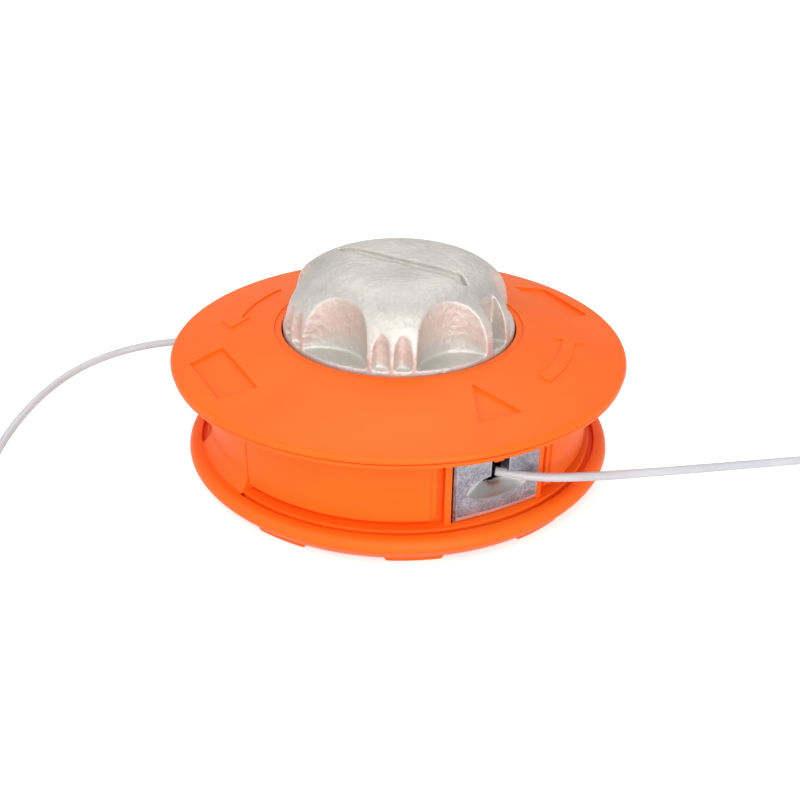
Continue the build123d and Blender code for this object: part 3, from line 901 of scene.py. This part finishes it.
def makeEyelet(name, node, side, spec):
    inner, outer, edge = spec["inner"], spec["outer"], spec["chamfer"]
    foot, top, footEdge = spec["foot"], spec["top"], spec["footChamfer"]
    face, faceSpan, spare = spec["faceRadius"], spec["faceSpan"], spec["spare"]
    back = face - (outer - inner + spare)
    section = [(back, foot), (face - footEdge, foot), (face, foot + footEdge), (face, top), (back, top)]
    plate = turned(section, 36, start=-faceSpan / 2, span=faceSpan)
    faceAxis = Vector((outer - face, 0, 0))
    bmesh.ops.translate(plate, verts=plate.verts, vec=faceAxis)
    # the ends stand on planes through the axis, and their outer edges lean in like the foot's
    for way in (1, -1):
        a = radians(way * spec["half"])
        ends = bmesh.ops.bisect_plane(
            plate,
            geom=everything(plate),
            dist=0.0001,
            plane_co=(0, 0, 0),
            plane_no=(-way * sin(a), way * cos(a), 0),
            clear_outer=True,
        )
        opened = [item for item in ends["geom_cut"] if isinstance(item, bmesh.types.BMEdge)]
        bmesh.ops.holes_fill(plate, edges=opened)
        onEnd = [rail for rail in plate.edges if all(onRay(v.co, way * spec["half"]) for v in rail.verts)]
        corner = [
            rail for rail in onEnd if all((v.co - faceAxis).xy.length > face - touch for v in rail.verts)
        ]
        bmesh.ops.bevel(
            plate,
            geom=corner,
            offset=edge,
            offset_type="OFFSET",
            segments=1,
            profile=0.5,
            affect="EDGES",
            material=-1,
        )
    bmesh.ops.recalc_face_normals(plate, faces=plate.faces)
    bore = post(inner, 2 * top, (0, 0, top), 256)
    plate, slots = slottedCut(plate, bore, bodySlots=[skins["castEyelet"]])
    plate, slots = slottedCut(plate, ovalFunnel(spec), bodySlots=slots, toolSlots=[skins["polishedThroat"]])
    gateWide, gateDeep = spec["slot"]
    high = top - spec["mouthUp"] + spare
    gate = block((gateDeep, gateWide, high), ((inner + outer) / 2, 0, spec["mouthUp"] + high / 2))
    plate, slots = slottedCut(plate, gate, bodySlots=slots, toolSlots=[skins["castEyelet"]])
    # the edges round the face and a band along the foot are machined bright
    slots.append(skins["machinedEdge"])
    bandTop = foot + spec["footBand"]
    bmesh.ops.bisect_plane(
        plate,
        geom=everything(plate),
        dist=0.0001,
        plane_co=(0, 0, bandTop),
        plane_no=(0, 0, 1),
    )
    bmesh.ops.recalc_face_normals(plate, faces=plate.faces)
    least, most, lean = spec["bright"]
    for skin in plate.faces:
        leaning = least < skin.normal.x < most and (skin.normal.z < -lean or abs(skin.normal.y) > lean)
        low = skin.normal.x > least and skin.calc_center_median().z < bandTop
        if skin.material_index == 0 and (leaning or low):
            skin.material_index = len(slots) - 1
    finishPiece(
        name,
        spunAbout(plate, side),
        slots,
        "housing",
        node,
        edge=spec["edge"],
        edgeAngle=24.0,
        sharp=35.0,
    )


for name, node, side in (("eyeletFrontPlate", "eyelet_front", 0), ("eyeletBackPlate", "eyelet_back", 180)):
    makeEyelet(name, node, side, eyelet)

# bump knob: cast dome with finger scallops, paired flutes, pointer slots and a groove
knob = {
    "radius": 33.2,
    "foot": 34.5,
    "shelf": 41.6,
    "dome": 18.2,
    "domeSteps": 40,
    "crown": (12.0, 14.2, 12.1),  # flat, curve handles at the crown and the side
    "fingers": (6, -1.2, 12.2, 7.8),  # count, turn, radius, depth
    "flute": (2.35, 2.2, 5.1),  # radius, depth, half angle
    "pointer": (7.2, 5.4),  # width, depth
    "groove": (4.4, 2.0, 23.6, 5.2),  # width, depth, reach, slant
    "hollow": (2.7, 22.2, 54.8, 4.7),  # wall, radius, top, lean
    "bosses": (3, 60.0, 20.415, 3.6, 2.1, 43.6),  # count, first angle, circle, radius, hole's radius and top
    "spare": {"top": 6.0, "side": 4.0, "core": 4.0, "foot": 2.0},  # how far cutters run past what they cut
    "skinSize": 0.4,
    "skinSmooth": (0.5, 4),  # factor, rounds
}


def domeArc(spec, sink=0.0):
    radius = spec["radius"]
    flat, crownHandle, sideHandle = spec["crown"]
    foot, top = spec["shelf"] - sink, spec["shelf"] + spec["dome"] - sink
    ends = [(radius, 0, foot), (radius, 0, foot + sideHandle), (flat + crownHandle, 0, top), (flat, 0, top)]
    curve = interpolate_bezier(*[Vector(point) for point in ends], spec["domeSteps"])
    return [(point.x, point.z) for point in curve] + [(0, top)]


def makeKnob(spec):
    radius, shelf, foot, spare = spec["radius"], spec["shelf"], spec["foot"], spec["spare"]
    body = turned([(0, foot), (radius, foot)] + domeArc(spec), 192)
    tall = spec["dome"] + spare["top"]
    middleUp = shelf + tall / 2
    # scallops, with a pointer slot or a pair of flutes between them
    cuts = []
    count, turn, scallopR, scallopDeep = spec["fingers"]
    pitch = 360 / count
    fluteR, fluteDeep, fluteHalf = spec["flute"]
    pointerW, pointerDeep = spec["pointer"]
    for index in range(count):
        scallop = post(scallopR, tall, (radius - scallopDeep + scallopR, 0, middleUp), 128)
        cuts.append(spunAbout(scallop, turn + index * pitch))
        middle = turn + (index + 0.5) * pitch
        if index % (count // 2) == 0:
            deep = pointerDeep + spare["side"]
            slot = block((deep, pointerW, tall), (radius - pointerDeep + deep / 2, 0, middleUp))
            cuts.append(spunAbout(slot, middle))
        else:
            for way in (1, -1):
                flute = post(fluteR, tall, (radius - fluteDeep + fluteR, 0, middleUp), 48)
                cuts.append(spunAbout(flute, middle + way * fluteHalf))
    body = plainCut(body, joined(cuts))
    # the groove's ends are cut at a slant and its floor runs an even depth below the dome
    grooveW, grooveDeep, grooveR, slant = spec["groove"]
    grooveTurn = turn + pitch / 2
    coreFoot = shelf - spare["core"]
    core = turned([(0, coreFoot), (radius, coreFoot)] + domeArc(spec, grooveDeep), 192)
    half = grooveW / 2
    outline = [
        (grooveR, -half, shelf),
        (grooveR - slant, half, shelf),
        (-grooveR, half, shelf),
        (slant - grooveR, -half, shelf),
    ]
    trough = spunAbout(prism(outline, (0, 0, tall)), grooveTurn)
    body = plainCut(body, plainCut(trough, core))
    # the skin is laid with the groove square to its grid
    casting = looseObject(scaled(spunAbout(body, -grooveTurn), mm))
    skin = casting.modifiers.new("skin", "REMESH")
    skin.mode = "VOXEL"
    skin.voxel_size = spec["skinSize"] * mm
    ease = casting.modifiers.new("ease", "SMOOTH")
    ease.factor, ease.iterations = spec["skinSmooth"]
    body = spunAbout(scaled(takenBack(settled(casting)), 1 / mm), grooveTurn)
    # hollow from below, with bosses for the screws
    wall, hollowR, hollowTop, lean = spec["hollow"]
    below = foot - spare["foot"]
    hollow = turned(
        [
            (0, below),
            (radius - wall, below),
            (radius - wall, shelf - wall),
            (hollowR, shelf - wall),
            (hollowR, hollowTop - lean),
            (hollowR - lean, hollowTop),
            (0, hollowTop),
        ],
        96,
    )
    count, first, circle, bossR, holeR, holeTop = spec["bosses"]
    bosses, holes = [], []
    for index in range(count):
        angle = first + index * 360 / count
        boss = post(bossR, hollowTop, (circle, 0, foot + hollowTop / 2), 48)
        hole = post(holeR, holeTop - below, (circle, 0, (holeTop + below) / 2), 32)
        bosses.append(spunAbout(boss, angle))
        holes.append(spunAbout(hole, angle))
    hollow = plainCut(hollow, joined(bosses))
    finishPiece(
        "knobCasting",
        plainCut(body, joined([hollow] + holes)),
        [skins["castAluminium"]],
        "spool",
        "bump_knob",
        sharp=70.0,
    )


makeKnob(knob)

# return spring, a fixed coil; the knob's stroke shortens the real one towards the floor
spring = {
    "wire": 0.7,
    "wireSteps": 16,
    "middle": 15.915,
    "foot": 8.25,
    "head": 30.49,
    "turns": 5,
    "steps": 240,
    "stroke": 5.5,
}


def makeSpring(spec):
    wire = spec["wire"]
    rise = spec["head"] - spec["foot"] - 2 * wire
    bm = bmesh.new()
    start = Matrix.Translation((spec["middle"], 0, spec["foot"] + wire))
    upright = Matrix.Rotation(radians(90), 4, "X")
    bmesh.ops.create_circle(
        bm,
        cap_ends=False,
        segments=spec["wireSteps"],
        radius=wire,
        matrix=start @ upright,
    )
    bmesh.ops.spin(
        bm,
        geom=bm.verts[:] + bm.edges[:],
        cent=(0, 0, 0),
        axis=(0, 0, 1),
        dvec=(0, 0, rise / spec["steps"]),
        angle=radians(360 * spec["turns"]),
        steps=spec["steps"],
    )
    bmesh.ops.holes_fill(bm, edges=[edge for edge in bm.edges if edge.is_boundary])
    bmesh.ops.recalc_face_normals(bm, faces=bm.faces)
    coil = finishPiece("springCoil", bm, [skins["springWire"]], "housing", "return_spring")
    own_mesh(coil)


makeSpring(spring)

# inner pieces keep their own solids
innerFinish = {
    "drive_insert": "zincSteel",
    "spool": "blackNylon",
    "winding_lower": "nylonLine",
    "winding_upper": "nylonLine",
    "knob_screw_1": "zincSteel",
    "knob_screw_2": "zincSteel",
    "knob_screw_3": "zincSteel",
    "spring_washer": "zincSteel",
}
for node, finish in innerFinish.items():
    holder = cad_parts[node]
    if not holder.material_slots:
        holder.data.materials.append(skins[finish])
    for slot in holder.material_slots:
        slot.material = skins[finish]
print("inner pieces dressed")

# studio: pale floor, white surround and soft lamps
studio = {
    "floorSize": 6.0,
    "floorTone": 0.72,
    "floorLift": 0.54,
    "surround": (1.0, 0.995, 0.985),
    "surroundStrength": (0.5, 0.8),
    "surroundFront": (0.881, -0.473, 0.0),
    "lampAim": (0, 0, 0.03),
    # name, place, size and watts
    "lamps": [
        ("keyLamp", (0.76, -0.58, 0.88), 1.2, 6.6),
        ("topLamp", (-0.62, 0.34, 1.05), 0.8, 3.4),
        ("leftLamp", (-0.16, -0.93, 0.6), 0.6, 1.6),
        ("sideLamp", (0.68, -0.12, 0.16), 0.3, 1.6),
    ],
}


def makeStudio(spec):
    scene = bpy.context.scene
    scene.view_settings.view_transform = "Standard"
    bm = bmesh.new()
    bmesh.ops.create_grid(bm, x_segments=1, y_segments=1, size=spec["floorSize"] / 2)
    floor = looseObject(bm)
    floor.name = "studioFloor"
    paper = bpy.data.materials.new("floorPaper")
    paper.use_nodes = True
    tree = paper.node_tree
    tree.nodes.clear()
    out = addNode(tree, "ShaderNodeOutputMaterial")
    matt = addNode(tree, "ShaderNodeBsdfDiffuse", {"Color": (spec["floorTone"],) * 3 + (1,)})
    glow = addNode(tree, "ShaderNodeEmission", {"Color": (1, 1, 1, 1)})
    seen = addNode(tree, "ShaderNodeLightPath")
    direct = mathNode(tree, "MAXIMUM", seen.outputs["Is Camera Ray"], seen.outputs["Is Glossy Ray"])
    direct = mathNode(tree, "MAXIMUM", direct, seen.outputs["Is Transmission Ray"])
    tree.links.new(mathNode(tree, "MULTIPLY", direct, spec["floorLift"]), glow.inputs["Strength"])
    both = addNode(tree, "ShaderNodeAddShader")
    tree.links.new(matt.outputs[0], both.inputs[0])
    tree.links.new(glow.outputs[0], both.inputs[1])
    tree.links.new(both.outputs[0], out.inputs["Surface"])
    floor.data.materials.append(paper)
    world = bpy.data.worlds.new("surround")
    world.use_nodes = True
    scene.world = world
    tree = world.node_tree
    tree.nodes.clear()
    out = addNode(tree, "ShaderNodeOutputWorld")
    light = addNode(tree, "ShaderNodeBackground", {"Color": (*spec["surround"], 1)})
    # brighter on the camera's side than behind the object
    where = addNode(tree, "ShaderNodeTexCoord")
    ahead = addNode(tree, "ShaderNodeVectorMath", {1: spec["surroundFront"]}, operation="DOT_PRODUCT")
    tree.links.new(where.outputs["Generated"], ahead.inputs[0])
    least, most = spec["surroundStrength"]
    span = {"From Min": -1.0, "From Max": 1.0, "To Min": least, "To Max": most}
    level = addNode(tree, "ShaderNodeMapRange", span)
    tree.links.new(ahead.outputs["Value"], level.inputs["Value"])
    tree.links.new(level.outputs["Result"], light.inputs["Strength"])
    white = addNode(tree, "ShaderNodeBackground", {"Color": (1, 1, 1, 1), "Strength": 1.0})
    seen = addNode(tree, "ShaderNodeLightPath")
    choose = addNode(tree, "ShaderNodeMixShader")
    through = mathNode(tree, "MAXIMUM", seen.outputs["Is Camera Ray"], seen.outputs["Is Transmission Ray"])
    tree.links.new(through, choose.inputs["Fac"])
    tree.links.new(light.outputs[0], choose.inputs[1])
    tree.links.new(white.outputs[0], choose.inputs[2])
    tree.links.new(choose.outputs[0], out.inputs["Surface"])
    for name, place, size, power in spec["lamps"]:
        data = bpy.data.lights.new(name, "AREA")
        data.shape = "DISK"
        data.size = size
        data.energy = power
        lamp = bpy.data.objects.new(name, data)
        scene.collection.objects.link(lamp)
        lamp.location = place
        aim = Vector(spec["lampAim"]) - Vector(place)
        lamp.rotation_euler = aim.to_track_quat("-Z", "Y").to_euler()


makeStudio(studio)
print("studio set")

bpy.context.view_layer.update()
